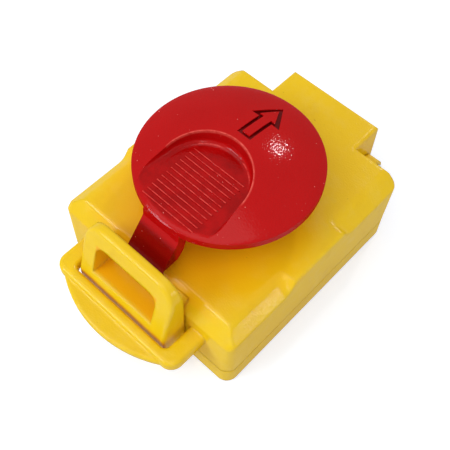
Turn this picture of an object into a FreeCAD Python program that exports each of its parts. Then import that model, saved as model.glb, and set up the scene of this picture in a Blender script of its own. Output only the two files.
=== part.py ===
import FreeCAD, Part
import math
import os
import Sketcher

# Covered emergency stop button: hinged lid with a padlock hasp, sliding slap head and contact block.
# The head's axis is the Z axis, the machine panel is the plane Z = 0, and +Y points from hasp to hinge.

doc = FreeCAD.newDocument("covered_stop")
sheet = doc.addObject("Spreadsheet::Sheet", "dims")


class Size:
    """A length with its value and the sheet expression that gives it."""

    def __init__(self, value, text):
        self.value = float(value)
        self.text = text

    def __add__(self, other):
        other = size(other)
        return Size(self.value + other.value, "(%s + %s)" % (self.text, other.text))

    def __radd__(self, other):
        return size(other) + self

    def __sub__(self, other):
        other = size(other)
        return Size(self.value - other.value, "(%s - %s)" % (self.text, other.text))

    def __rsub__(self, other):
        return size(other) - self

    def __mul__(self, other):
        other = size(other)
        return Size(self.value * other.value, "(%s * %s)" % (self.text, other.text))

    def __rmul__(self, other):
        return size(other) * self

    def __truediv__(self, other):
        other = size(other)
        return Size(self.value / other.value, "(%s / %s)" % (self.text, other.text))

    def __neg__(self):
        return Size(-self.value, "(0 - %s)" % self.text)


def size(value):
    if isinstance(value, Size):
        return value
    return Size(value, "%.6g" % value)


row_count = 0


def dim(name, value):
    """Write one driving dimension in the sheet and give it back as a Size."""
    global row_count
    row_count += 1
    cell = "B%d" % row_count
    sheet.set("A%d" % row_count, name)
    sheet.set(cell, "%.6g" % value)
    sheet.setAlias(cell, name)
    return Size(value, "dims." + name)


# Box outline
half_w = dim("half_width", 37.8)
front = dim("front_reach", 40.0)
rear = dim("rear_reach", 44.2)
corner = dim("corner_radius", 4.2)
top_corner = dim("lid_top_corner", 2.5)
base_h = dim("base_height", 8.1)
wall = dim("wall_thickness", 2.4)
floor_t = dim("floor_thickness", 2.4)
split = dim("split_gap", 0.3)
lid_top = dim("lid_height", 31.0)
top_t = dim("lid_top_thickness", 2.2)
bend_z = dim("front_bend_height", 25.5)
bend_in = dim("front_bend_inset", 0.8)
lean = dim("front_lean", 6.1)
draft = dim("side_draft", 0.1)
lid_edge = dim("lid_edge", 1.2)

# Panel screws and cable window
hole_x = dim("hole_offset_x", 29.0)
hole_y = dim("hole_offset_y", 30.0)
hole_r = dim("hole_radius", 2.25)
boss_r = dim("boss_radius", 4.8)
boss_h = dim("boss_height", 6.0)
cable_half = dim("cable_half_width", 9.0)
cable_near = dim("cable_near", 24.0)
cable_far = dim("cable_far", 35.0)

# Padlock staple
staple_half = dim("staple_half_width", 19.3)
staple_front = dim("staple_front", 49.5)
staple_knee = dim("staple_knee_height", 23.0)
staple_top = dim("staple_top", 43.6)
staple_back = dim("staple_back", 40.6)
staple_lean = dim("staple_lean", 6.3)
staple_drop = dim("staple_top_drop", 0.2)
back_lean = dim("staple_back_lean", 0.6)
foot_h = dim("foot_height", 6.5)
window_half = dim("window_half_width", 13.1)
window_low = dim("window_sill", 25.4)
window_high = dim("window_top", 37.4)
window_r = dim("window_corner", 4.0)
staple_r = dim("staple_corner", 8.0)
staple_edge = dim("staple_edge", 1.4)

# Hinge
hinge_y = dim("hinge_reach", 50.7)
hinge_z = dim("hinge_height", 14.0)
pin_r = dim("pin_radius", 2.5)
ear_r = dim("ear_radius", 5.6)
ear_in = dim("ear_inner", 19.6)
ear_t = dim("ear_thickness", 5.0)
block_half = dim("block_half_width", 19.2)
barrel_r = dim("barrel_radius", 6.2)
block_wall = dim("block_wall", 2.6)

# Hasp loop and lift tab
loop_z = dim("loop_height", 17.5)
loop_h = dim("loop_thickness", 3.8)
loop_inset = dim("loop_inset", 6.4)
loop_arm = dim("loop_arm", 6.2)
loop_far = dim("loop_hole_front", 50.3)
loop_bar = dim("loop_bar", 3.8)
loop_r = dim("loop_corner", 4.4)
tab_h = dim("tab_thickness", 2.2)
tab_over = dim("tab_overhang", 6.1)
tab_lap = dim("tab_lap", 0.6)
front_cut = dim("front_cut_depth", 1.2)
front_cut_half = dim("front_cut_half", 17.0)
front_cut_low = dim("front_cut_low", 8.0)
front_cut_high = dim("front_cut_high", 29.0)

# Scoops beside the saddle
scoop_w = dim("scoop_width", 5.4)
scoop_drop = dim("scoop_drop", 4.6)
saddle_front = dim("saddle_front", 9.5)
saddle_rear = dim("saddle_rear", 14.5)
scoop_run = dim("scoop_run_out", 5.0)
scoop_soft = dim("scoop_soft_edge", 2.2)
vault_drop = dim("vault_drop", 7.2)
vault_rib = dim("vault_rib", 1.6)

# Slide in the lid
sleeve_r = dim("sleeve_radius", 8.0)
bore_gap = dim("bore_gap", 0.05)
slot_gap = dim("slot_gap", 0.35)
slide_fwd = dim("slide_forward", 2.6)
slide_back = dim("slide_backward", 0.6)
flange_half = dim("flange_half_width", 14.0)
flange_len = dim("flange_half_length", 15.0)
flange_t = dim("flange_thickness", 3.0)
guide_gap = dim("guide_gap", 0.3)
guide_t = dim("guide_thickness", 1.8)
guide_half = dim("guide_half_width", 22.5)
guide_front = dim("guide_front", 21.0)
guide_rear = dim("guide_rear", 25.5)
guide_screw_x = dim("guide_screw_x", 18.5)
guide_screw_y = dim("guide_screw_y", 17.0)
guide_boss_r = dim("guide_boss_radius", 3.0)
sleeve_low = dim("sleeve_bottom", 22.9)
sleeve_high = dim("sleeve_top", 37.8)
dust_half = dim("dust_half_width", 12.5)
dust_len = dim("dust_half_length", 16.0)
dust_t = dim("dust_thickness", 1.4)
dust_gap = dim("dust_gap", 0.3)
dust_corner = dim("dust_corner", 6.0)
rib_y = dim("rib_reach", 24.6)
latch_x = dim("latch_spring_offset", 8.0)
latch_r = dim("latch_spring_radius", 1.4)
latch_wire = dim("latch_spring_wire", 0.6)
screw_head = dim("screw_head_radius", 2.4)
screw_head_t = dim("screw_head_height", 1.2)
screw_shank = dim("screw_shank_radius", 1.15)
screw_len = dim("screw_length", 4.2)

# Head
disc_r = dim("disc_radius", 30.3)
disc_low = dim("disc_underside", 46.4)
rim_h = dim("rim_height", 3.6)
dome_h = dim("dome_height", 6.6)
hub_r = dim("hub_radius", 9.5)
hub_low = dim("hub_bottom", 40.9)
stem_r = dim("stem_radius", 5.0)
pad_r = dim("pad_radius", 7.3)
pad_t = dim("pad_thickness", 2.5)
peg_fit = dim("stem_tip_radius", 3.0)
recess_r = dim("recess_radius", 15.3)
recess_y = dim("recess_centre", 12.3)
recess_open = dim("recess_mouth_half", 17.6)
recess_floor = dim("recess_floor", 0.35)
recess_fillet = dim("recess_fillet", 2.0)
grip_count = 12
grip_pitch = dim("grip_pitch", 2.0)
grip_w = dim("grip_width", 0.35)
grip_h = dim("grip_height", 0.3)
grip_half = dim("grip_half_length", 10.5)
grip_inset = dim("grip_inset", 3.4)
tongue_half = dim("tongue_half_width", 7.5)
tongue_inset = dim("tongue_inset", 0.4)
tongue_gap = dim("tongue_gap", 4.8)
nose_front = dim("nose_front", 39.0)
nose_back = dim("nose_back", 36.9)
nose_low = dim("nose_bottom", 30.6)
nose_high = dim("nose_top", 34.0)
arrow_y = dim("arrow_centre", 15.5)
arrow_half = dim("arrow_half_length", 9.8)
arrow_head = dim("arrow_head_half", 5.6)
arrow_shaft = dim("arrow_shaft_half", 2.65)
arrow_neck = dim("arrow_neck", 0.5)
arrow_line = dim("arrow_line", 1.2)
arrow_deep = dim("arrow_depth", 1.15)

# Contact block
block_x = dim("switch_half_width", 18.0)
pitch = dim("button_pitch", 20.0)
well_half = dim("well_half_width", 15.5)
well_len = dim("well_half_length", 9.5)
switch_low = dim("switch_bottom", 2.5)
switch_high = dim("switch_rim", 12.6)
switch_wall = dim("switch_wall", 3.5)
well_floor = dim("well_floor", 1.7)
cover_t = dim("cover_thickness", 1.6)
stop_r = dim("stop_shank_radius", 8.0)
stop_cap_r = dim("stop_cap_radius", 9.5)
stop_top = dim("stop_top", 18.6)
stop_cap_t = dim("stop_cap_thickness", 1.5)
start_r = dim("start_radius", 6.5)
start_top = dim("start_top", 17.0)
button_gap = dim("button_gap", 0.3)
button_flange = dim("button_flange", 1.0)
flange_low = dim("button_flange_low", 10.5)
flange_high = dim("button_flange_high", 12.3)
peg_r = dim("button_peg_radius", 2.0)
peg_low = dim("button_peg_low", 8.6)
bridge_low = dim("bridge_low", 9.0)
bridge_t = dim("bridge_thickness", 0.8)
bridge_half = dim("bridge_half_length", 12.0)
strip_in = dim("strip_inner", 9.0)
strip_out = dim("strip_outer", 26.0)
strip_half = dim("strip_half_width", 2.2)
strip_t = dim("strip_thickness", 0.7)
closed_z = dim("closed_contact_height", 9.95)
open_z = dim("open_contact_height", 5.4)
terminal_x = dim("terminal_offset", 22.8)
ledge_out = dim("ledge_outer", 27.0)
ledge_half = dim("ledge_half_width", 4.0)
lug_len = dim("lug_length", 5.4)
lug_half = dim("lug_half_width", 4.5)
lug_t = dim("lug_thickness", 2.5)

doc.recompute()


def vec(x, y, z=0.0):
    return FreeCAD.Vector(x, y, z)


def bind(item, prop, value):
    item.setExpression(prop, size(value).text)


def origin_plane(body, role):
    return [f for f in body.Origin.OriginFeatures if f.Role == role][0]


def new_body(label):
    body = doc.addObject("PartDesign::Body", label)
    body.Label = label
    return body


def sketch(body, role="XY_Plane", offset=None):
    sk = body.newObject("Sketcher::SketchObject", body.Name + "_sketch")
    sk.AttachmentSupport = [(origin_plane(body, role), "")]
    sk.MapMode = "FlatFace"
    if offset is not None:
        bind(sk, "AttachmentOffset.Base.z", offset)
    sk.Visibility = False
    return sk


def hold(sk, geo, pos, x, y):
    """Hold one sketch point at its two coordinates."""
    for kind, value in (("DistanceX", size(x)), ("DistanceY", size(y))):
        index = sk.addConstraint(Sketcher.Constraint(kind, -1, 1, geo, pos, value.value))
        sk.setExpression("Constraints[%d]" % index, value.text)


def radius(sk, geo, r):
    index = sk.addConstraint(Sketcher.Constraint("Radius", geo, r.value))
    sk.setExpression("Constraints[%d]" % index, r.text)


def circle(sk, x, y, r):
    x, y, r = size(x), size(y), size(r)
    geo = sk.addGeometry(Part.Circle(vec(x.value, y.value), vec(0, 0, 1), r.value), False)
    hold(sk, geo, 3, x, y)
    radius(sk, geo, r)


def path(sk, nodes):
    """Closed outline. A node is x, y, or x, y, radius when the side to the next node is an arc:
    a positive radius turns left and a negative one turns right."""
    points = [(size(n[0]), size(n[1])) for n in nodes]
    made = []
    for i, node in enumerate(nodes):
        p = vec(points[i][0].value, points[i][1].value)
        nxt = points[(i + 1) % len(nodes)]
        q = vec(nxt[0].value, nxt[1].value)
        if len(node) == 2:
            made.append((sk.addGeometry(Part.LineSegment(p, q), False), 1, 2, None))
            continue
        left = size(node[2]).value > 0
        r = size(node[2]) if left else -size(node[2])
        along = q.sub(p)
        rise = math.sqrt(max(r.value ** 2 - along.Length ** 2 / 4, 0))
        side = vec(-along.y, along.x) * ((1 if left else -1) * rise / along.Length)
        centre = (p + q) * 0.5 + side
        a = math.atan2(p.y - centre.y, p.x - centre.x)
        b = math.atan2(q.y - centre.y, q.x - centre.x)
        ring = Part.Circle(centre, vec(0, 0, 1), r.value)
        arc = Part.ArcOfCircle(ring, a, b) if left else Part.ArcOfCircle(ring, b, a)
        geo = sk.addGeometry(arc, False)
        made.append((geo, 1, 2, r) if left else (geo, 2, 1, r))
    for i, (geo, start, end, r) in enumerate(made):
        nxt = made[(i + 1) % len(made)]
        sk.addConstraint(Sketcher.Constraint("Coincident", geo, end, nxt[0], nxt[1]))
    for (geo, start, end, r), (x, y) in zip(made, points):
        hold(sk, geo, start, x, y)
        if r is not None:
            radius(sk, geo, r)


def box(sk, x0, x1, y0, y1):
    path(sk, [(x0, y0), (x1, y0), (x1, y1), (x0, y1)])


def rounded(sk, x0, x1, y0, y1, r):
    x0, x1, y0, y1, r = [size(v) for v in (x0, x1, y0, y1, r)]
    path(sk, [(x0 + r, y0), (x1 - r, y0, r), (x1, y0 + r), (x1, y1 - r, r),
              (x1 - r, y1), (x0 + r, y1, r), (x0, y1 - r), (x0, y0 + r, r)])


def slot(sk, r, y0, y1):
    """Long hole along Y between two end centres."""
    r, y0, y1 = size(r), size(y0), size(y1)
    path(sk, [(r, y0), (r, y1, r), (0, y1 + r, r), (-r, y1), (-r, y0, r), (0, y0 - r, r)])


def extrude(body, kind, sk, length, both, turn):
    item = body.newObject("PartDesign::" + kind, body.Name + "_" + kind.lower())
    item.Profile = sk
    if both:
        item.SideType = "Symmetric"
    item.Reversed = turn
    if length is None:
        item.Type = "ThroughAll"
    else:
        bind(item, "Length", length)
    return item


def pad(body, sk, length, both=False, turn=False):
    return extrude(body, "Pad", sk, length, both, turn)


def pocket(body, sk, length=None, both=False, turn=False):
    return extrude(body, "Pocket", sk, length, both, turn)


def loft(body, kind, sections):
    item = body.newObject("PartDesign::" + kind, body.Name + "_loft")
    item.Profile = sections[0]
    item.Sections = sections[1:]
    item.Ruled = True
    return item


def turned(body, sk):
    item = body.newObject("PartDesign::Revolution", body.Name + "_turned")
    item.Profile = sk
    item.ReferenceAxis = (sk, ["V_Axis"])
    item.Angle = 360
    return item


def mirrored(body, feature):
    item = body.newObject("PartDesign::Mirrored", body.Name + "_mirror")
    item.Originals = [feature]
    item.MirrorPlane = (origin_plane(body, "YZ_Plane"), [""])
    body.Tip = item
    return item


def rounded_edges(body, r, wanted):
    """Fillet on the edges of the last feature that the test accepts."""
    doc.recompute()
    last = body.Tip
    names = ["Edge%d" % (i + 1) for i, e in enumerate(last.Shape.Edges) if wanted(e)]
    item = body.newObject("PartDesign::Fillet", body.Name + "_fillet")
    item.Base = (last, names)
    bind(item, "Radius", r)
    doc.recompute()
    return item


def spring(label, r, wire, turns, length):
    """Square-section coil along Z that starts at the body's origin."""
    body = new_body(label)
    sk = sketch(body, "XZ_Plane")
    r, wire, length = size(r), size(wire), size(length)
    box(sk, r - wire / 2, r + wire / 2, 0, wire)
    coil = body.newObject("PartDesign::AdditiveHelix", label + "_coil")
    coil.Profile = sk
    coil.ReferenceAxis = (sk, ["V_Axis"])
    coil.Mode = "pitch-height-angle"
    bind(coil, "Pitch", (length - wire) / turns)
    bind(coil, "Height", length - wire)
    return body


def place(item, x=0, y=0, z=0):
    for axis, value in zip("xyz", (x, y, z)):
        bind(item, "Placement.Base." + axis, value)


def cylinder(label, r, length, x, y, z):
    item = doc.addObject("Part::Cylinder", label)
    bind(item, "Radius", r)
    bind(item, "Height", length)
    place(item, x, y, z)
    return item


def group(label, members):
    item = doc.addObject("Part::Compound", label)
    item.Label = label
    item.Links = members
    return item


def screw(label, x, y, under_head, head_r, head_t, shank_r, length, up=True):
    """Cap screw along Z. The head is above its seat when up is true, and below it when not."""
    head_z = size(under_head) if up else size(under_head) - head_t
    shank_z = size(under_head) - length if up else size(under_head)
    head = cylinder(label + "_head", head_r, head_t, x, y, head_z)
    shank = cylinder(label + "_shank", shank_r, length, x, y, shank_z)
    whole = doc.addObject("Part::MultiFuse", label + "_whole")
    whole.Shapes = [head, shank]
    slot_cut = doc.addObject("Part::Box", label + "_slot")
    bind(slot_cut, "Length", 2.4 * size(head_r))
    bind(slot_cut, "Width", 0.3 * size(head_r))
    bind(slot_cut, "Height", 0.5 * size(head_t))
    low = head_z + 0.5 * size(head_t) if up else head_z
    place(slot_cut, size(x) - 1.2 * size(head_r), size(y) - 0.15 * size(head_r), low)
    cut = doc.addObject("Part::Cut", label)
    cut.Base = whole
    cut.Tool = slot_cut
    return cut


nodes = []
sides = ((-1, -1), (1, -1), (1, 1), (-1, 1))


def lower_front(z):
    """Distance of the lid's front wall from the head's axis, below its bend."""
    return front - bend_in * ((size(z) - lid_low) / (bend_z - lid_low))


def upper_front(z):
    """The same distance above the bend."""
    return front - bend_in - (lean - bend_in) * ((size(z) - bend_z) / (lid_top - bend_z))


lid_low = base_h + split
lid_ceiling = lid_top - top_t

# Base tray: floor, rim, staple and hinge ears in one moulding
base = new_body("base_tray")
sk = sketch(base)
rounded(sk, -half_w, half_w, -front, rear, corner)
pad(base, sk, base_h)
sk = sketch(base, offset=floor_t)
rounded(sk, wall - half_w, half_w - wall, wall - front, rear - wall, corner - wall)
pocket(base, sk, turn=True)
sk = sketch(base)
for sx, sy in sides:
    circle(sk, sx * hole_x, sy * hole_y, boss_r)
pad(base, sk, boss_h)
sk = sketch(base, "YZ_Plane")
path(sk, [(-staple_front, 0), (1.5 - front, 0), (1.5 - front, foot_h), (-staple_back, foot_h),
          (back_lean - staple_back, staple_top - staple_drop), (staple_lean - staple_front, staple_top),
          (-staple_front, staple_knee)])
pad(base, sk, 2 * staple_half, both=True)
rounded_edges(base, staple_r, lambda e: e.BoundBox.XLength < 0.01
              and min(v.Z for v in e.Vertexes) > staple_top.value - staple_drop.value - 0.1)


def staple_rim(e):
    c = e.CenterOfMass
    ends = [v.Z for v in e.Vertexes]
    outer = abs(c.x) > staple_half.value - 0.02
    across = c.z > staple_top.value - staple_drop.value - staple_r.value
    return min(ends) > staple_knee.value - 0.1 and c.y < -staple_back.value - 1 and (outer or across)


def long_side(e):
    """Outer front edges of the hoop, not the joints of its flat and rounded faces."""
    spread = e.BoundBox
    level = abs(spread.XLength) < 0.01 and spread.ZLength < 0.5
    return staple_rim(e) and not level


rounded_edges(base, staple_edge, long_side)
sk = sketch(base, "XZ_Plane")
path(sk, [(-window_half, window_low), (window_half, window_low),
          (window_half, window_high - window_r, window_r), (window_half - window_r, window_high),
          (window_r - window_half, window_high, window_r), (-window_half, window_high - window_r)])
pocket(base, sk, turn=True)
sk = sketch(base, "YZ_Plane", ear_in)
ear_low = base_h - 0.4
path(sk, [(rear - 1.2, 0), (hinge_y + ear_r, 0), (hinge_y + ear_r, hinge_z, ear_r),
          (hinge_y, hinge_z + ear_r, ear_r),
          (hinge_y - ear_r, hinge_z), (hinge_y - ear_r, ear_low), (rear - 1.2, ear_low)])
ear = pad(base, sk, ear_t)
mirrored(base, ear)
sk = sketch(base, "YZ_Plane")
circle(sk, hinge_y, hinge_z, pin_r + 0.02)
pocket(base, sk, both=True)
sk = sketch(base)
for sx, sy in sides:
    circle(sk, sx * hole_x, sy * hole_y, hole_r)
pocket(base, sk, turn=True)
sk = sketch(base)
box(sk, -cable_half, cable_half, -cable_far, -cable_near)
pocket(base, sk, floor_t, turn=True)
switch_front = -(well_len + switch_wall)
switch_rear = pitch + well_len + switch_wall
lug_holes = (switch_front - lug_len / 2, switch_rear + lug_len / 2)
sk = sketch(base, offset=floor_t)
for y in lug_holes:
    circle(sk, 0, y, 1.2)
pocket(base, sk, floor_t - 0.6)
nodes.append(base)

# Hinge pin and its two retaining rings
pin = new_body("hinge_pin")
sk = sketch(pin, "YZ_Plane")
circle(sk, 0, 0, pin_r)
pin_half = ear_in + ear_t + 2.2
pad(pin, sk, 2 * pin_half, both=True)
rounded_edges(pin, 0.5, lambda e: len(e.Vertexes) == 1)
place(pin, 0, hinge_y, hinge_z)
nodes.append(pin)

rings = []
for side in (-1, 1):
    ring = new_body("pin_ring_left" if side < 0 else "pin_ring_right")
    sk = sketch(ring, "YZ_Plane")
    circle(sk, 0, 0, pin_r + 2)
    circle(sk, 0, 0, pin_r + 0.02)
    pad(ring, sk, 0.9, both=True)
    place(ring, side * (ear_in + ear_t + 0.65), hinge_y, hinge_z)
    rings.append(ring)
nodes.append(group("pin_clips", rings))

# Lid moulding
lid = new_body("lid_shell")
low = sketch(lid, offset=lid_low)
rounded(low, -half_w, half_w, -front, rear, corner)
high = sketch(lid, offset=lid_top)
rounded(high, draft - half_w, half_w - draft, lean - front, rear, top_corner)
bend = sketch(lid, offset=bend_z)
side = half_w - draft * ((bend_z - lid_low) / (lid_top - lid_low))
rounded(bend, -side, side, bend_in - front, rear, top_corner)
loft(lid, "AdditiveLoft", [low, bend, high])
sk = sketch(lid, "YZ_Plane")
block_rear = hinge_y + barrel_r
path(sk, [(rear - 2, lid_top), (rear - 2, hinge_z), (block_rear, hinge_z), (block_rear, lid_top)])
pad(lid, sk, 2 * block_half, both=True)
rounded_edges(lid, lid_edge, lambda e: min(v.Z for v in e.Vertexes) > lid_top.value - 0.01)
sk = sketch(lid, "YZ_Plane")
circle(sk, hinge_y, hinge_z, barrel_r)
pad(lid, sk, 2 * block_half, both=True)
cavity_z = lid_top - vault_drop
low = sketch(lid, offset=lid_low)
rounded(low, wall - half_w, half_w - wall, wall - front, rear - wall, corner - wall)
high = sketch(lid, offset=cavity_z)
rounded(high, wall + draft - half_w, half_w - draft - wall, wall - lower_front(cavity_z), rear - wall,
        corner - wall)
loft(lid, "SubtractiveLoft", [low, high])
sk = sketch(lid, offset=cavity_z)
vault = half_w - scoop_w - vault_rib
rounded(sk, -vault, vault, lean + wall - front, rear - wall, 3)
pocket(lid, sk, lid_ceiling - cavity_z, turn=True)
sk = sketch(lid, offset=hinge_z + barrel_r + 1.6)
box(sk, block_wall - block_half, block_half - block_wall, rear - wall - 0.5, block_rear - block_wall)
pocket(lid, sk, lid_ceiling - hinge_z - barrel_r - 1.6, turn=True)

# Hasp loop and lift tab
sk = sketch(lid, offset=loop_z)
loop_end = 1.6 - lower_front(loop_z)
loop_front = loop_far + loop_bar
loop_half = half_w - corner - loop_inset
loop_hole = loop_half - loop_arm
inner_r = 2.0
path(sk, [(-loop_half, loop_end), (-loop_half, loop_r - loop_front, loop_r),
          (loop_r - loop_half, -loop_front), (loop_half - loop_r, -loop_front, loop_r),
          (loop_half, loop_r - loop_front), (loop_half, loop_end), (loop_hole, loop_end),
          (loop_hole, inner_r - loop_far, -inner_r),
          (loop_hole - inner_r, -loop_far), (inner_r - loop_hole, -loop_far, -inner_r),
          (-loop_hole, inner_r - loop_far), (-loop_hole, loop_end)])
pad(lid, sk, loop_h)


def loop_top_edges(e):
    c = e.CenterOfMass
    flat = e.BoundBox.ZLength < 0.01
    on_loop = c.y < -front.value - 0.5
    return flat and on_loop and abs(c.z - loop_z.value - loop_h.value) < 0.01


rounded_edges(lid, 1.3, loop_top_edges)
sk = sketch(lid, offset=loop_z)
tab_half = loop_half - 0.3
tab_reach = loop_front + tab_over
tab_root = loop_far + tab_lap
sag = tab_reach - tab_root
tab_r = (tab_half * tab_half + sag * sag) / (2 * sag)
path(sk, [(-tab_half, -tab_root, tab_r), (0, -tab_reach, tab_r), (tab_half, -tab_root)])
pad(lid, sk, tab_h)
rounded_edges(lid, 0.8, lambda e: e.BoundBox.ZLength < 0.01 and e.CenterOfMass.y < -loop_front.value - 0.8
              and abs(e.CenterOfMass.z - loop_z.value - tab_h.value) < 0.01 and e.BoundBox.YLength > 1)

# Clearance in the front wall behind the staple
sk = sketch(lid, "YZ_Plane")
path(sk, [(-front - 3, front_cut_low), (front_cut - lower_front(front_cut_low), front_cut_low),
          (front_cut + bend_in - front, bend_z), (front_cut - upper_front(front_cut_high), front_cut_high),
          (-front - 3, front_cut_high)])
pocket(lid, sk, 2 * front_cut_half, both=True)

# Scoops with rounded run-outs at both ends of the saddle
ease = ((1.0, 1.0), (0.72, 0.93), (0.46, 0.72), (0.22, 0.4), (0.0, 0.06))
for sx in (-1, 1):
    for near, far, sign in ((saddle_front, front + 2, 1), (saddle_rear, rear + 2, -1)):
        sections = []
        for along, deep in ((None, 1.0),) + ease:
            y = far if along is None else near + along * scoop_run
            sk = sketch(lid, "XZ_Plane", y if sign > 0 else -y)
            tip = half_w - scoop_w
            over = half_w + 1
            steep = deep * scoop_drop / scoop_w
            dip = steep * scoop_soft
            bow = (4 * scoop_soft * scoop_soft + dip * dip) / (2 * dip)
            path(sk, [(sx * (tip - scoop_soft), lid_top, -sx * bow), (sx * (tip + scoop_soft), lid_top - dip),
                      (sx * over, lid_top - steep * (scoop_w + 1)), (sx * over, lid_top + 1),
                      (sx * (tip - scoop_soft), lid_top + 1)])
            sections.append(sk)
        loft(lid, "SubtractiveLoft", sections)

# Slot for the slide, guide bosses and spring rib
sk = sketch(lid, offset=lid_ceiling - 0.5)
slot(sk, sleeve_r + slot_gap, -slide_fwd - slot_gap, slide_back + slot_gap)
pocket(lid, sk, turn=True)
guide_top = lid_ceiling - flange_t - 2 * guide_gap
screw_spots = [(sx * guide_screw_x, y) for sx in (-1, 1) for y in (-guide_screw_y, guide_screw_y + 4)]
sk = sketch(lid, offset=guide_top)
for x, y in screw_spots:
    circle(sk, x, y, guide_boss_r)
pad(lid, sk, lid_ceiling - guide_top + 0.3)
sk = sketch(lid, offset=guide_top)
for x, y in screw_spots:
    circle(sk, x, y, 1.2)
pocket(lid, sk, flange_t, turn=True)
sk = sketch(lid, offset=guide_top + guide_gap)
box(sk, -flange_half + 1, flange_half - 1, rib_y, rib_y + 2)
pad(lid, sk, lid_ceiling - guide_top)
sk = sketch(lid, "YZ_Plane")
circle(sk, hinge_y, hinge_z, pin_r + 0.06)
pocket(lid, sk, both=True)
nodes.append(lid)

# Guide plate under the slide, with its four screws
guide = new_body("guide_plate")
sk = sketch(guide, offset=guide_top - guide_t)
rounded(sk, -guide_half, guide_half, -guide_front, guide_rear, 3)
slot(sk, sleeve_r + slot_gap, -slide_fwd - slot_gap, slide_back + slot_gap)
for x, y in screw_spots:
    circle(sk, x, y, 1.35)
pad(guide, sk, guide_t)
nodes.append(guide)

guide_screws = []
for i, (x, y) in enumerate(screw_spots):
    guide_screws.append(screw("guide_screw_%d" % (i + 1), x, y, guide_top - guide_t, screw_head, screw_head_t,
                              screw_shank, screw_len, up=False))
nodes.append(group("guide_screws", guide_screws))

# Slide: flanged sleeve
slide = new_body("slide_carriage")
sk = sketch(slide, offset=guide_top + guide_gap)
rounded(sk, -flange_half, flange_half, -flange_len, flange_len, 2)
pad(slide, sk, flange_t)
sk = sketch(slide, offset=sleeve_low)
circle(sk, 0, 0, sleeve_r)
pad(slide, sk, sleeve_high - sleeve_low)
sk = sketch(slide, offset=sleeve_low)
circle(sk, 0, 0, stem_r + bore_gap)
pocket(slide, sk, turn=True)
nodes.append(slide)

# Cover plate over the slot
dust = new_body("dust_plate")
dust_low = lid_top + dust_gap
sk = sketch(dust, offset=dust_low)
rounded(sk, -dust_half, dust_half, -dust_len, dust_len, dust_corner)
circle(sk, 0, 0, sleeve_r + 0.03)
pad(dust, sk, dust_t)
nodes.append(dust)

# Latch springs between the slide and the rib of the lid
latch = []
for side in (-1, 1):
    coil = spring("latch_spring_left" if side < 0 else "latch_spring_right", latch_r, latch_wire, 5,
                  rib_y - flange_len - 0.2)
    coil.Placement = FreeCAD.Placement(vec(0, 0, 0), FreeCAD.Rotation(vec(1, 0, 0), -90))
    place(coil, side * latch_x, flange_len + 0.1, guide_top + guide_gap + flange_t / 2)
    latch.append(coil)
nodes.append(group("latch_springs", latch))

# Slap head: dome, thumb recess, tongue and arrow
head = new_body("slap_head")
rim_top = disc_low + rim_h
sk = sketch(head, "XZ_Plane")
rim_in = disc_r - 0.6
dome_r = (rim_in * rim_in + dome_h * dome_h) / (2 * dome_h)
stem_top = disc_low - 0.2
path(sk, [(0, stem_top), (stem_r + 0.03, stem_top), (stem_r + 0.03, hub_low), (hub_r, hub_low),
          (hub_r, disc_low), (disc_r - 0.5, disc_low), (disc_r, disc_low + 0.5), (disc_r, rim_top - 0.5),
          (rim_in, rim_top, dome_r), (0, rim_top + dome_h)])
turned(head, sk)
sk = sketch(head, offset=rim_top + recess_floor)
mouth = disc_r + 4
path(sk, [(-recess_open, -mouth), (recess_open, -mouth), (recess_r, -recess_y, recess_r),
          (0, recess_r - recess_y, recess_r), (-recess_r, -recess_y)])
pocket(head, sk, turn=True)


def recess_foot(e):
    c = e.CenterOfMass
    level = abs(c.z - rim_top.value - recess_floor.value) < 0.01 and e.BoundBox.ZLength < 0.01
    return level and c.y > -disc_r.value + 5


rounded_edges(head, recess_fillet, recess_foot)
sk = sketch(head, offset=rim_top + recess_floor)
for i in range(grip_count):
    y = i * grip_pitch + grip_inset - disc_r
    box(sk, -grip_half, grip_half, y - grip_w / 2, y + grip_w / 2)
pad(head, sk, grip_h)
sk = sketch(head, "YZ_Plane")
under = lid_top + tongue_gap
tongue_top = disc_r - tongue_inset
path(sk, [(4 - tongue_top, disc_low + 1.4), (-tongue_top, disc_low + 1.4),
          (-tongue_top - 0.2, disc_low - 1.8), (1.8 - nose_front, under + 0.2), (-nose_front, nose_high),
          (-nose_front, nose_low), (-nose_back, nose_low), (-nose_back, under), (-tongue_top - 0.8, under),
          (2 - tongue_top, under + 3.4), (4 - tongue_top, disc_low - 0.6)])
pad(head, sk, 2 * tongue_half, both=True)
slope = math.degrees(math.asin(arrow_y.value / dome_r.value))
crown = rim_top + dome_h - arrow_y * arrow_y / (2 * dome_r) - arrow_deep
sk = sketch(head)
sk.AttachmentOffset = FreeCAD.Placement(vec(0, 0, 0), FreeCAD.Rotation(vec(1, 0, 0), -slope))
bind(sk, "AttachmentOffset.Base.y", arrow_y)
bind(sk, "AttachmentOffset.Base.z", crown)
arrow_tip = arrow_half
path(sk, [(-arrow_shaft, -arrow_half), (arrow_shaft, -arrow_half), (arrow_shaft, arrow_neck),
          (arrow_head, arrow_neck), (0, arrow_tip), (-arrow_head, arrow_neck), (-arrow_shaft, arrow_neck)])
inner = arrow_shaft - arrow_line
path(sk, [(-inner, arrow_line - arrow_half), (inner, arrow_line - arrow_half),
          (inner, arrow_neck + arrow_line), (arrow_head - 2.1 * arrow_line, arrow_neck + arrow_line),
          (0, arrow_tip - 1.75 * arrow_line), (2.1 * arrow_line - arrow_head, arrow_neck + arrow_line),
          (-inner, arrow_neck + arrow_line)])
pocket(head, sk, turn=True)
pin_z = (hub_low + disc_low) / 2 - 0.5
sk = sketch(head, "YZ_Plane")
circle(sk, 0, pin_z, 1.22)
pocket(head, sk, 2 * hub_r + 2, both=True)
nodes.append(head)

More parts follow.
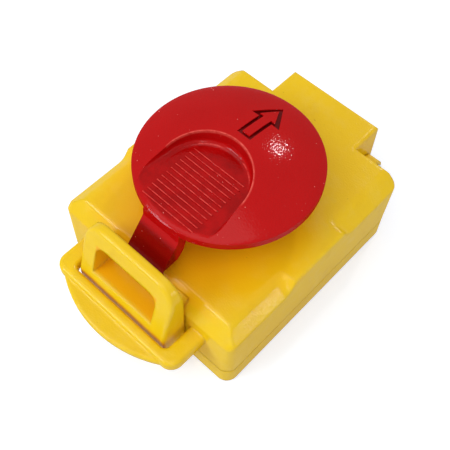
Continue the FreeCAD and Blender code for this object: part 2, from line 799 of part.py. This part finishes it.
# Stem with its cross pin, retaining ring and pad
stem = new_body("head_stem")
clip_z = sleeve_low - 1.2
pad_low = stop_top + 0.4
sk = sketch(stem, "XZ_Plane")
path(sk, [(0, pad_low + 0.9), (peg_fit, pad_low + 0.9), (peg_fit, pad_low + pad_t), (stem_r, pad_low + pad_t),
          (stem_r, clip_z), (stem_r - 1, clip_z), (stem_r - 1, clip_z + 1), (stem_r, clip_z + 1),
          (stem_r, stem_top - 0.1), (0, stem_top - 0.1)])
turned(stem, sk)
sk = sketch(stem, "YZ_Plane")
circle(sk, 0, pin_z, 1.22)
pocket(stem, sk, both=True)
nodes.append(stem)

cross = new_body("stem_pin")
sk = sketch(cross, "YZ_Plane")
circle(sk, 0, 0, 1.2)
pad(cross, sk, 2 * hub_r - 0.4, both=True)
place(cross, 0, 0, pin_z)
nodes.append(cross)

clip = new_body("stem_clip")
sk = sketch(clip, offset=clip_z + 0.05)
circle(sk, 0, 0, stem_r + 2)
circle(sk, 0, 0, stem_r - 0.97)
pad(clip, sk, 0.9)
nodes.append(clip)

pusher = new_body("pusher_pad")
sk = sketch(pusher, "XZ_Plane")
path(sk, [(0, pad_low), (pad_r - 0.8, pad_low), (pad_r, pad_low + 0.8), (pad_r, pad_low + pad_t - 0.05),
          (peg_fit + 0.03, pad_low + pad_t - 0.05), (peg_fit + 0.03, pad_low + 0.85), (0, pad_low + 0.85)])
turned(pusher, sk)
nodes.append(pusher)

lift = spring("return_spring", hub_r + 1.2, 1.1, 4, disc_low - dust_low - dust_t - 0.2)
place(lift, 0, 0, dust_low + dust_t + 0.1)
nodes.append(lift)

# Contact block: housing with two wells, terminal ledges and screw lugs
housing = new_body("switch_housing")
sk = sketch(housing, offset=switch_low)
rounded(sk, -block_x, block_x, switch_front, switch_rear, 1.5)
pad(housing, sk, switch_high - switch_low)
sk = sketch(housing, offset=switch_low)
box(sk, -lug_half, lug_half, switch_front - lug_len, switch_front + 1)
box(sk, -lug_half, lug_half, switch_rear - 1, switch_rear + lug_len)
pad(housing, sk, lug_t)
for y, z in ((0, closed_z), (pitch, open_z)):
    sk = sketch(housing, offset=switch_low)
    for sx in (-1, 1):
        box(sk, sx * (block_x - 1), sx * ledge_out, y - ledge_half, y + ledge_half)
    pad(housing, sk, z - 0.05 - switch_low)
sk = sketch(housing, offset=switch_low + well_floor)
for y in (0, pitch):
    box(sk, -well_half, well_half, y - well_len, y + well_len)
pocket(housing, sk, turn=True)
for y, z in ((0, closed_z), (pitch, open_z)):
    sk = sketch(housing, "XZ_Plane", -y)
    for sx in (-1, 1):
        box(sk, sx * (well_half - 1), sx * (block_x + 1), z - 0.05, z + strip_t + 0.2)
    pocket(housing, sk, 2 * strip_half + 0.1, both=True)
    sk = sketch(housing, offset=z - 0.05)
    for sx in (-1, 1):
        circle(sk, sx * terminal_x, y, 1.25)
    pocket(housing, sk, 2.6)
sk = sketch(housing, offset=switch_low)
for y in lug_holes:
    circle(sk, 0, y, 1.5)
pocket(housing, sk, lug_t, turn=True)
nodes.append(housing)

cover = new_body("switch_cover")
cover_low = switch_high + 0.05
sk = sketch(cover, offset=cover_low)
rounded(sk, -block_x, block_x, switch_front, switch_rear, 1.5)
circle(sk, 0, 0, stop_r + button_gap)
circle(sk, 0, pitch, start_r + button_gap)
pad(cover, sk, cover_t)
nodes.append(cover)

lug_top = switch_low + lug_t
lug_screws = []
for i, y in enumerate(lug_holes):
    lug_screws.append(screw("switch_screw_%d" % (i + 1), 0, y, lug_top + 0.02, 2.3, 1.4, 1.15, 4.2))
nodes.append(group("switch_screws", lug_screws))

strips = []
terminals = []
for y, z in ((size(0), closed_z), (pitch, open_z)):
    for sx in (-1, 1):
        name = "%s_strip_%s" % ("closed" if z is closed_z else "open", "left" if sx < 0 else "right")
        strip = new_body(name)
        sk = sketch(strip, offset=z)
        box(sk, sx * strip_in, sx * strip_out, y - strip_half, y + strip_half)
        circle(sk, sx * terminal_x, y, 1.3)
        pad(strip, sk, strip_t)
        strips.append(strip)
        terminals.append(screw(name + "_screw", sx * terminal_x, y, z + strip_t + 0.02, 2.0, 1.3, 1.2, 2.8))
nodes.append(group("fixed_contacts", strips))
nodes.append(group("terminal_screws", terminals))


def button(label, y, r, top, cap_r):
    """Push button with a flange under the cover and a peg for its moving contact."""
    body = new_body(label)
    sk = sketch(body, "XZ_Plane")
    nodes_in = [(0, peg_low), (peg_r, peg_low), (peg_r, flange_low), (r + button_flange, flange_low),
                (r + button_flange, flange_high), (r, flange_high)]
    if cap_r is None:
        nodes_in += [(r, top - 0.6), (r - 0.6, top)]
    else:
        nodes_in += [(r, top - stop_cap_t), (cap_r, top - stop_cap_t), (cap_r, top - 0.6), (cap_r - 0.6, top)]
    path(sk, nodes_in + [(0, top)])
    turned(body, sk)
    place(body, 0, y, 0)
    return body


def bridge(label, y):
    body = new_body(label)
    sk = sketch(body, offset=bridge_low)
    rounded(sk, -bridge_half, bridge_half, -strip_half, strip_half, 1)
    circle(sk, 0, 0, peg_r + 0.03)
    pad(body, sk, bridge_t)
    place(body, 0, y, 0)
    return body


spring_floor = switch_low + well_floor
for word, y, r, top, cap in (("stop", size(0), stop_r, stop_top, stop_cap_r),
                             ("start", pitch, start_r, start_top, None)):
    nodes.append(button(word + "_button", y, r, top, cap))
    nodes.append(bridge(word + "_bridge", y))
    coil = spring(word + "_spring", 3.4, 0.5, 3, bridge_low - spring_floor - 0.2)
    place(coil, 0, y, spring_floor + 0.1)
    nodes.append(coil)

doc.recompute()

for item in doc.Objects:
    bad = [word for word in item.State if word in ("Invalid", "Error")]
    if bad:
        raise RuntimeError("%s: %s %s" % (item.Label, bad, item.getStatusString()))
for node in nodes:
    if node.Shape.isNull() or not node.Shape.isValid():
        raise RuntimeError("shape of %s" % node.Label)

os.makedirs("parts", exist_ok=True)
for node in nodes:
    node.Shape.exportStep("parts/%s.step" % node.Label)
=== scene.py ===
import math

import bpy
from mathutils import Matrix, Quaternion, Vector


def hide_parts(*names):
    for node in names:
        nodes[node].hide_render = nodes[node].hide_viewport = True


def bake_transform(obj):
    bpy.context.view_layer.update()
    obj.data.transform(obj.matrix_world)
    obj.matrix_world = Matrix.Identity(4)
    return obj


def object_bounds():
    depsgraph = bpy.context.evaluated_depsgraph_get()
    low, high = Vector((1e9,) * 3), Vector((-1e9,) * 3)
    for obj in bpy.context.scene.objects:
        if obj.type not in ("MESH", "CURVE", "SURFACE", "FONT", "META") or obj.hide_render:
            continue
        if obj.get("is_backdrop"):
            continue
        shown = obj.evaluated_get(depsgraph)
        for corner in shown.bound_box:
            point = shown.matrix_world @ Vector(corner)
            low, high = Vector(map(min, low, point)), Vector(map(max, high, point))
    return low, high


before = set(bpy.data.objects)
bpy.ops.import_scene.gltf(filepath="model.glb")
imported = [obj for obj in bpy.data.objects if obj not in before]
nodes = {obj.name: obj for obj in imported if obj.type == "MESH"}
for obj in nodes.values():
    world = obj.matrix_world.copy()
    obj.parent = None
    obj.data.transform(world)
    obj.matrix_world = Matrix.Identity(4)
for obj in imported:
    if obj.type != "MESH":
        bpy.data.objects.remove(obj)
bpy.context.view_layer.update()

scene = bpy.context.scene
bpy.ops.object.select_all(action="DESELECT")

# All lengths are in metres.
SAME_POINT = 0.000002             # points of a mesh nearer than this are joined
SHARP_ANGLE = math.radians(32)    # sharper edges are softened
SMALL_EDGE = 0.00012              # how wide the softened edge of a small piece is
WIDE_EDGES = {"base_tray": 0.0006, "lid_shell": 0.0010, "slap_head": 0.0003}

# Shape of the head, for the places of its wear and of the painted highlight on its brow.
CROWN_TOP = 0.05654               # height of the dome's top
CROWN_SPREAD = 0.1401             # the dome drops by the distance from its axis squared over this
RECESS_BACK = 0.0123              # how far the thumb recess lies in front of the axis
BROW_RADIUS = 0.01545
SHADE_FORWARD = 0.011             # how far the painted shade under the head lies in front of the axis

# Worn and stained places, and places of painted shade and painted highlight. Each measure has where the mark rises
# from none to full, and where it falls to none again.
# "aside" is the distance from the middle plane, "depth" the depth below the dome's curve, "off_brow" the distance
# from the recess's brow, and "reach" the distance from the middle of the painted shade under the head.
GRIP_LINES = {
    "z": ((0.05050, 0.05062), (0.05072, 0.05090)), "aside": (None, (0.0106, 0.0110)), "y": (None, (0.0012, 0.0016)),
}
RECESS_FLOOR = {
    "z": ((0.0500, 0.0503), (0.05062, 0.0511)), "y": ((-0.0300, -0.0285), None), "depth": ((0.0003, 0.0006), None),
}
PAINTED_BROW_HIGHLIGHT = {
    "off_brow": (None, (0.00008, 0.00045)), "depth": (None, (0.0004, 0.0012)), "y": ((-0.0125, -0.0105), None),
}
PAINTED_SHADE_ON_TONGUE = {"y": (None, (-0.0322, -0.0308)), "z": (None, (0.0425, 0.0452))}
ARROW_GROOVE = {
    "depth": ((0.00025, 0.0005), (0.0016, 0.0022)), "y": ((0.0042, 0.0048), (0.0264, 0.0268)),
    "aside": (None, (0.0085, 0.0090)),
}
PAINTED_SHADE_UNDER_HEAD = {
    "reach": (None, (0.020, 0.040)), "z": ((0.0270, 0.0288), (0.0316, 0.0320)), "y": ((-0.0378, -0.0360), None),
}
PAINTED_SHADE_IN_WINDOW = {
    "aside": (None, (0.0129, 0.0134)), "z": ((0.0246, 0.0252), (0.0372, 0.0377)),
    "y": ((-0.0490, -0.0470), (-0.0400, -0.0396)),
}
PAINTED_SHADE_AT_STAPLE_FOOT = {
    "z": ((0.0160, 0.0178), (0.0205, 0.0226)), "y": ((-0.0501, -0.0499), (-0.0493, -0.0488)),
    "aside": (None, (0.0196, 0.0202)),
}


def srgb(*colour):
    """The linear colour of three 0 to 255 values."""
    def linear(v):
        v = v / 255
        return v / 12.92 if v <= 0.04045 else ((v + 0.055) / 1.055) ** 2.4
    return (*map(linear, colour), 1.0)


class Graph:
    """A material's node tree, with short ways to add and join nodes."""

    def __init__(self, name):
        self.material = bpy.data.materials.new(name)
        self.material.use_nodes = True
        self.tree = self.material.node_tree
        self.shader = self.tree.nodes["Principled BSDF"]
        self.place = self.add("ShaderNodeTexCoord").outputs["Object"]

    def add(self, kind, **values):
        node = self.tree.nodes.new(kind)
        for key, value in values.items():
            setattr(node, key, value)
        return node

    def put(self, value, socket):
        """Sets a socket to a number or colour, or joins another node's output to it."""
        if hasattr(value, "is_output"):
            self.tree.links.new(value, socket)
        else:
            socket.default_value = value

    def feed(self, node, **values):
        for key, value in values.items():
            self.put(value, node.inputs[key.replace("_", " ")])
        return node

    def axes(self):
        return self.feed(self.add("ShaderNodeSeparateXYZ"), Vector=self.place).outputs

    def noise(self, scale, detail=3.0, rough=0.55):
        node = self.add("ShaderNodeTexNoise")
        return self.feed(node, Vector=self.place, Scale=scale, Detail=detail, Roughness=rough).outputs["Fac"]

    def span(self, value, low, high, to_low=0.0, to_high=1.0):
        node = self.add("ShaderNodeMapRange", clamp=True)
        self.feed(node, Value=value, From_Min=low, From_Max=high, To_Min=to_low, To_Max=to_high)
        return node.outputs["Result"]

    def calc(self, operation, a, b=0.0):
        node = self.add("ShaderNodeMath", operation=operation)
        self.put(a, node.inputs[0])
        self.put(b, node.inputs[1])
        return node.outputs[0]

    def times(self, product, *factors):
        for factor in factors:
            product = self.calc("MULTIPLY", product, factor)
        return product

    def squares(self, a, b):
        return self.calc("ADD", self.times(a, a), self.times(b, b))

    def zone(self, places, limits):
        """1 inside the limits of a worn place and 0 outside."""
        parts = []
        for measure, (rise, fall) in limits.items():
            if rise:
                parts.append(self.span(places[measure], *rise))
            if fall:
                parts.append(self.span(places[measure], *fall, 1.0, 0.0))
        return self.times(*parts)

    def mix(self, share, under, over):
        node = self.add("ShaderNodeMix", data_type="RGBA")
        for socket, value in ((node.inputs[0], share), (node.inputs[6], under), (node.inputs[7], over)):
            self.put(value, socket)
        return node.outputs[2]

    def tint(self, paint, colour, *shares):
        """The paint with another colour laid on it, as far as all the shares allow."""
        return self.mix(self.times(*shares), paint, srgb(*colour))

    def bump(self, height, distance, normal=None):
        node = self.feed(self.add("ShaderNodeBump"), Height=height, Distance=distance, Strength=1.0)
        if normal is not None:
            self.put(normal, node.inputs["Normal"])
        return node.outputs["Normal"]

    def finish(self, colour, rough, normal=None, metallic=0.0):
        self.feed(self.shader, Base_Color=colour, Roughness=rough, Metallic=metallic)
        if normal is not None:
            self.put(normal, self.shader.inputs["Normal"])
        return self.material


def moulded(name, colour, deep, grain=0.00003, rough=(0.34, 0.5), gloss=None, marks_and_painted_light=None, round_off=0.0003):
    """Moulded plastic with a spark-eroded grain, faint flow clouds and a few rubbed specks."""
    g = Graph(name)
    cloud = g.span(g.noise(38.0, 4.0), 0.3, 0.72)
    specks = g.span(g.noise(900.0, 1.0), 0.7, 0.78)
    paint = g.mix(g.times(cloud, 0.55), srgb(*colour), srgb(*deep))
    paint = g.tint(paint, [v * 0.72 for v in deep], specks, 0.05)
    if marks_and_painted_light:
        paint = marks_and_painted_light(g, paint)
    fine = g.noise(1900.0, 0.6, 0.5)
    coarse = g.noise(420.0, 1.0, 0.5)
    height = g.calc("ADD", fine, g.times(coarse, 0.3))
    edge = None
    if round_off:
        edge = g.feed(g.add("ShaderNodeBevel", samples=8), Radius=round_off).outputs["Normal"]
    normal = g.bump(height, grain, edge)
    if gloss:
        # A thin hard skin carries all the shine
        weight, skin = gloss
        g.feed(g.shader, Specular_IOR_Level=0.0, Coat_Weight=weight, Coat_Roughness=skin, Coat_IOR=2.0,
               Coat_Normal=normal)
    return g.finish(paint, g.span(g.noise(160.0), 0.3, 0.7, *rough), normal)


def metal(name, colour, dull, rough=(0.22, 0.4)):
    """Bare metal with dull clouds and a fine grain."""
    g = Graph(name)
    cloud = g.span(g.noise(260.0), 0.35, 0.7)
    paint = g.mix(cloud, srgb(*colour), srgb(*dull))
    roughness = g.span(g.noise(700.0), 0.3, 0.7, *rough)
    return g.finish(paint, roughness, g.bump(g.noise(2400.0, 2.0), 0.000008), 1.0)


def head_wear_and_painted_light(g, paint):
    """Worn grip lines, a painted highlight on the recess's brow, a darker recess floor, painted shade on the tongue,
    a darker arrow groove and pale nicks on the head.
    """
    x, y, z = g.axes()
    crown = g.calc("SUBTRACT", CROWN_TOP, g.calc("DIVIDE", g.squares(x, y), CROWN_SPREAD))
    ring = g.calc("SQRT", g.squares(x, g.calc("ADD", y, RECESS_BACK)))
    places = {
        "y": y, "z": z, "aside": g.calc("ABSOLUTE", x), "depth": g.calc("SUBTRACT", crown, z),
        "off_brow": g.calc("ABSOLUTE", g.calc("SUBTRACT", ring, BROW_RADIUS)),
    }
    scratch_and_glint_breakup = g.noise(520.0, 4.0, 0.7)
    lines = g.zone(places, GRIP_LINES)
    paint = g.tint(paint, (228, 74, 66), lines, g.span(scratch_and_glint_breakup, 0.36, 0.62, 0.1, 0.75))
    # A darker, blotchy recess floor
    floor_blotches = g.span(g.noise(170.0, 4.0, 0.6), 0.4, 0.62, 0.25, 0.8)
    paint = g.tint(paint, (150, 5, 5), g.zone(places, RECESS_FLOOR), floor_blotches, g.calc("SUBTRACT", 1.0, lines))
    # Painted highlight: a pale pink line along the recess's brow
    paint = g.tint(paint, (236, 98, 86), g.zone(places, PAINTED_BROW_HIGHLIGHT), g.span(scratch_and_glint_breakup, 0.35, 0.62, 0.25, 0.8))
    # Painted shade: the lower tongue is darker where it sits in the pit behind the staple's bar
    paint = g.tint(paint, (120, 3, 4), g.zone(places, PAINTED_SHADE_ON_TONGUE), 0.85)
    paint = g.tint(paint, (80, 3, 4), g.zone(places, ARROW_GROOVE), 0.85)
    nicks = g.span(g.noise(1700.0, 0.0), 0.872, 0.882)
    return g.tint(paint, (240, 150, 140), nicks, 0.8)


def box_wear_and_painted_shade(g, paint):
    """Smudges, pale dust, painted shade as deeper yellow under the head and inside the staple's window and as darker
    orange at the staple's foot, and a few dark flecks on the box.
    """
    x, y, z = g.axes()
    reach = g.calc("SQRT", g.squares(x, g.calc("ADD", y, SHADE_FORWARD)))
    places = {"y": y, "z": z, "aside": g.calc("ABSOLUTE", x), "reach": reach}
    smudge = g.span(g.noise(95.0, 5.0, 0.62), 0.58, 0.75)
    paint = g.tint(paint, (206, 150, 10), smudge, 0.22)
    dust = g.span(g.noise(130.0, 5.0, 0.65), 0.5, 0.7)
    paint = g.tint(paint, (240, 206, 92), dust, 0.22)
    # Painted shade: a deeper, more orange yellow on the lid's top under the head, where the head's shade falls
    paint = g.tint(paint, (255, 180, 14), g.zone(places, PAINTED_SHADE_UNDER_HEAD), 0.9)
    # Painted shade: a deeper orange yellow inside the staple's window
    paint = g.tint(paint, (240, 166, 8), g.zone(places, PAINTED_SHADE_IN_WINDOW), 0.9)
    # Painted shade: darker orange on the staple's foot, in the narrow gap behind the loop's bar
    foot_shade_mottle = g.span(g.noise(300.0, 4.0, 0.6), 0.35, 0.6, 0.35, 0.7)
    paint = g.tint(paint, (222, 128, 3), g.zone(places, PAINTED_SHADE_AT_STAPLE_FOOT), foot_shade_mottle)
    flecks = g.span(g.noise(1500.0, 0.0), 0.895, 0.9)
    return g.tint(paint, (150, 96, 10), flecks, 0.5)


yellow = moulded("yellow_plastic", (238, 196, 22), (233, 185, 15), grain=0.00005, rough=(0.5, 0.6),
                 gloss=(0.24, 0.17), marks_and_painted_light=box_wear_and_painted_shade, round_off=0.0014)
red = moulded("red_plastic", (188, 11, 12), (170, 7, 8), grain=0.00005, rough=(0.5, 0.6),
              gloss=(0.14, 0.09), marks_and_painted_light=head_wear_and_painted_light, round_off=0.0)
stop_red = moulded("stop_red", (188, 16, 20), (172, 10, 14), grain=0.00002, rough=(0.28, 0.4))
black = moulded("black_plastic", (34, 34, 36), (26, 26, 28))
grey = moulded("grey_plastic", (120, 122, 124), (108, 110, 112))
green = moulded("start_green", (26, 128, 62), (20, 112, 52), grain=0.00002, rough=(0.28, 0.4))
rubber = moulded("rubber_pad", (44, 44, 46), (34, 34, 36), grain=0.00002, rough=(0.6, 0.8))
steel = metal("zinc_steel", (198, 200, 204), (172, 174, 180))
wire = metal("spring_steel", (176, 178, 184), (140, 142, 150), rough=(0.26, 0.42))
brass = metal("brass", (214, 176, 92), (190, 148, 70))

finish = {
    "base_tray": yellow, "lid_shell": yellow, "slap_head": red, "stop_button": stop_red, "start_button": green,
    "slide_carriage": black, "dust_plate": black, "guide_plate": black, "switch_housing": black,
    "switch_cover": grey, "pusher_pad": rubber, "hinge_pin": steel, "pin_clips": steel,
    "guide_screws": steel, "switch_screws": steel, "terminal_screws": steel, "head_stem": black,
    "stem_pin": steel, "stem_clip": steel, "return_spring": wire, "latch_springs": wire,
    "stop_spring": wire, "start_spring": wire, "fixed_contacts": brass, "stop_bridge": brass,
    "start_bridge": brass,
}
for name, piece in nodes.items():
    piece.data.materials.clear()
    piece.data.materials.append(finish[name])
    for polygon in piece.data.polygons:
        polygon.use_smooth = True
    weld = piece.modifiers.new("joined", "WELD")
    weld.merge_threshold = SAME_POINT
    soft = piece.modifiers.new("soft_edges", "BEVEL")
    soft.width = WIDE_EDGES.get(name, SMALL_EDGE)
    soft.segments = 3
    soft.limit_method = "ANGLE"
    soft.angle_limit = SHARP_ANGLE
    even = piece.modifiers.new("even_shading", "WEIGHTED_NORMAL")
    even.weight = 60


def shortening_spring(node):
    """A smooth, joined copy of a spring's coil that takes the place of the hidden spring node."""
    coil = bpy.data.objects.new(node + "_coil", nodes[node].data.copy())
    scene.collection.objects.link(coil)
    bpy.ops.object.select_all(action="DESELECT")
    bpy.context.view_layer.objects.active = coil
    coil.select_set(True)
    if coil.data.has_custom_normals:
        bpy.ops.mesh.customdata_custom_splitnormals_clear()
    bpy.ops.object.mode_set(mode="EDIT")
    bpy.ops.mesh.select_all(action="SELECT")
    bpy.ops.mesh.remove_doubles(threshold=SAME_POINT)
    bpy.ops.mesh.normals_make_consistent(inside=False)
    bpy.ops.object.mode_set(mode="OBJECT")
    bpy.ops.object.shade_smooth()
    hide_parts(node)
    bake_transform(coil)
    coil.select_set(False)


for node, held, moving in (("return_spring", "slide", "head"), ("stop_spring", "base", "stop"),
                           ("start_spring", "base", "start")):
    shortening_spring(node)
shortening_spring("latch_springs")

# White table, just below the base. Its glow is seen but lights nothing, and is a little blue against the yellow
# that the box throws on it.
bpy.ops.mesh.primitive_plane_add(size=6)
floor = bpy.context.object
floor.name = "table_top"
low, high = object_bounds()
floor.location.z = low.z - 0.0002
table = Graph("white_table")
rays = table.add("ShaderNodeLightPath").outputs
mirrored = table.calc("MAXIMUM", rays["Is Glossy Ray"], rays["Is Transmission Ray"])
seen = table.calc("MAXIMUM", rays["Is Camera Ray"], mirrored)
table.feed(table.shader, Specular_IOR_Level=0.0, Emission_Color=(0.94, 1.0, 1.12, 1),
           Emission_Strength=table.times(seen, 0.48))
table.finish(table.mix(table.noise(60.0), srgb(212, 212, 212), srgb(208, 208, 208)),
             table.span(table.noise(90.0), 0.3, 0.7, 0.85, 0.95))
floor.data.materials.append(table.material)
floor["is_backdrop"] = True

# The photograph's view.
azimuth, elevation, roll = (math.radians(v) for v in (41.431, 58.82, 1.983))
view = Vector((math.sin(azimuth) * math.cos(elevation), -math.cos(azimuth) * math.cos(elevation),
               math.sin(elevation)))
target = Vector((-0.004125, 0.003642, 0.001626))
target_distance = 0.27514
lens = bpy.data.cameras.new("photo_view")
lens.sensor_width = 36
lens.lens = 59.90
lens.clip_start = 0.01
camera = bpy.data.objects.new("photo_view", lens)
scene.collection.objects.link(camera)
camera.location = target + view * target_distance
camera.rotation_mode = "QUATERNION"
camera.rotation_quaternion = (-view).to_track_quat("-Z", "Y") @ Quaternion((0, 0, 1), roll)
scene.camera = camera


def softbox(name, direction, distance, size, power, tint=(1, 1, 1)):
    """A rectangular lamp that faces the middle of the box."""
    middle = Vector((0, 0, 0.03))
    lamp = bpy.data.lights.new(name, "AREA")
    lamp.shape = "RECTANGLE"
    lamp.size, lamp.size_y = size
    lamp.energy = power
    lamp.color = tint
    holder = bpy.data.objects.new(name, lamp)
    scene.collection.objects.link(holder)
    holder.location = middle + Vector(direction).normalized() * distance
    holder.rotation_euler = (middle - holder.location).to_track_quat("-Z", "Y").to_euler()


softbox("window_behind", (-0.12, 0.725, 0.68), distance=1.1, size=(0.055, 0.042), power=1.35)
softbox("ceiling", (-0.05, -0.42, 1.0), distance=1.3, size=(1.5, 1.2), power=6.7)
softbox("key_panel", (0.6, -0.65, 0.5), distance=1.4, size=(0.22, 0.22), power=1.2)
softbox("side_window", (0.863, 0.334, 0.38), distance=1.1, size=(0.07, 0.07), power=0.42)
softbox("front_panel", (-0.38, -0.8, 0.52), distance=1.4, size=(0.7, 0.3), power=6.1, tint=(0.82, 1.04, 1.15))

# Even white surroundings, a little brighter near the horizon.
world = bpy.data.worlds.new("studio")
scene.world = world
world.use_nodes = True
sky_nodes, join = world.node_tree.nodes, world.node_tree.links.new
sky = sky_nodes["Background"]
where = sky_nodes.new("ShaderNodeTexCoord")
rise = sky_nodes.new("ShaderNodeSeparateXYZ")
level = sky_nodes.new("ShaderNodeMapRange")
level.inputs["From Max"].default_value = 0.4
level.inputs["To Min"].default_value = 0.68
level.inputs["To Max"].default_value = 0.55
join(where.outputs["Generated"], rise.inputs[0])
join(rise.outputs["Z"], level.inputs["Value"])
join(level.outputs["Result"], sky.inputs["Strength"])
sky.inputs["Color"].default_value = (1, 1, 1, 1)

scene.view_settings.view_transform = "Standard"

low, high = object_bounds()
